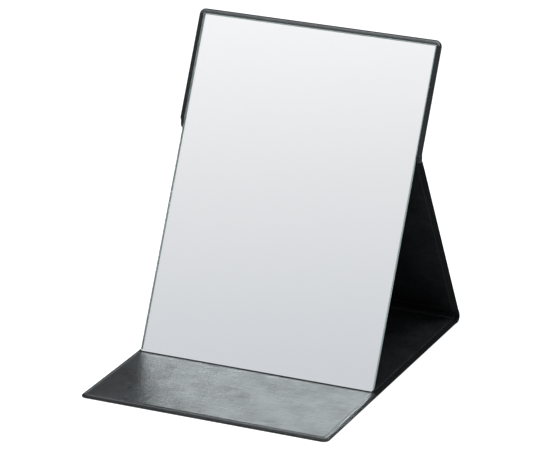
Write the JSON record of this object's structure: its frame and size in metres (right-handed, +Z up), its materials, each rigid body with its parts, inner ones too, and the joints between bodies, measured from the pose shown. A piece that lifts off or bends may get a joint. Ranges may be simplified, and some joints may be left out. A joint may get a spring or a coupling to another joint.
{
  "type": "folding countertop mirror",
  "caption": "Folding leatherette countertop mirror standing as a tent: a glass leaf leans on a hinged prop panel over a flat base flap, and folds up like a book.",
  "frame": {"origin": "on the table, at the centre of the outline that the standing mirror covers", "axes": "+Z up; +Y from the user's side towards the prop at the back; +X across the width, to the user's right"},
  "size_m": [0.154, 0.2128, 0.191],
  "materials": {
    "leatherette": "satin",
    "lining": "satin",
    "grey_board": "matte",
    "levelling_paper": "matte",
    "bonding_tape": "matte",
    "safety_film": "satin",
    "mirror_glass": "polished"
  },
  "bodies": {
    "flap": {"flap_outer_skin": "leatherette", "flap_board": "grey_board", "flap_levelling_sheet": "levelling_paper", "flap_lining": "lining"},
    "spine": {"spine_outer_skin": "leatherette", "spine_lining": "lining"},
    "prop": {"prop_outer_skin": "leatherette", "prop_board": "grey_board", "prop_levelling_sheet": "levelling_paper", "prop_lining": "lining"},
    "leaf": {"mirror_glass": "mirror_glass", "safety_film": "safety_film", "mounting_tape_1": "bonding_tape", "mounting_tape_2": "bonding_tape", "mounting_tape_3": "bonding_tape", "mounting_tape_4": "bonding_tape", "lining_anchor_strip": "lining", "upper_board": "grey_board", "rim_spacer": "grey_board", "upper_outer_skin": "leatherette"}
  },
  "joints": [
    {"name": "stand_angle", "type": "hinge", "parent": "flap", "child": "spine", "pos_m": [0, 0.1047, 0.00042], "axis": [-1, 0, 0], "range_deg": [-15, 25]},
    {"name": "cover_opening", "type": "hinge", "parent": "spine", "child": "prop", "pos_m": [0, 0.10615, 0.00301], "axis": [-1, 0, 0], "range_deg": [0, 96]},
    {"name": "mirror_tilt", "type": "hinge", "parent": "prop", "child": "leaf", "pos_m": [0, 0.03112, 0.12557], "axis": [1, 0, 0], "range_deg": [-33.6, 56]}
  ],
  "couplings": [
    {"joint": "stand_angle", "follows": "mirror_tilt", "ratio": 0.446}
  ]
}
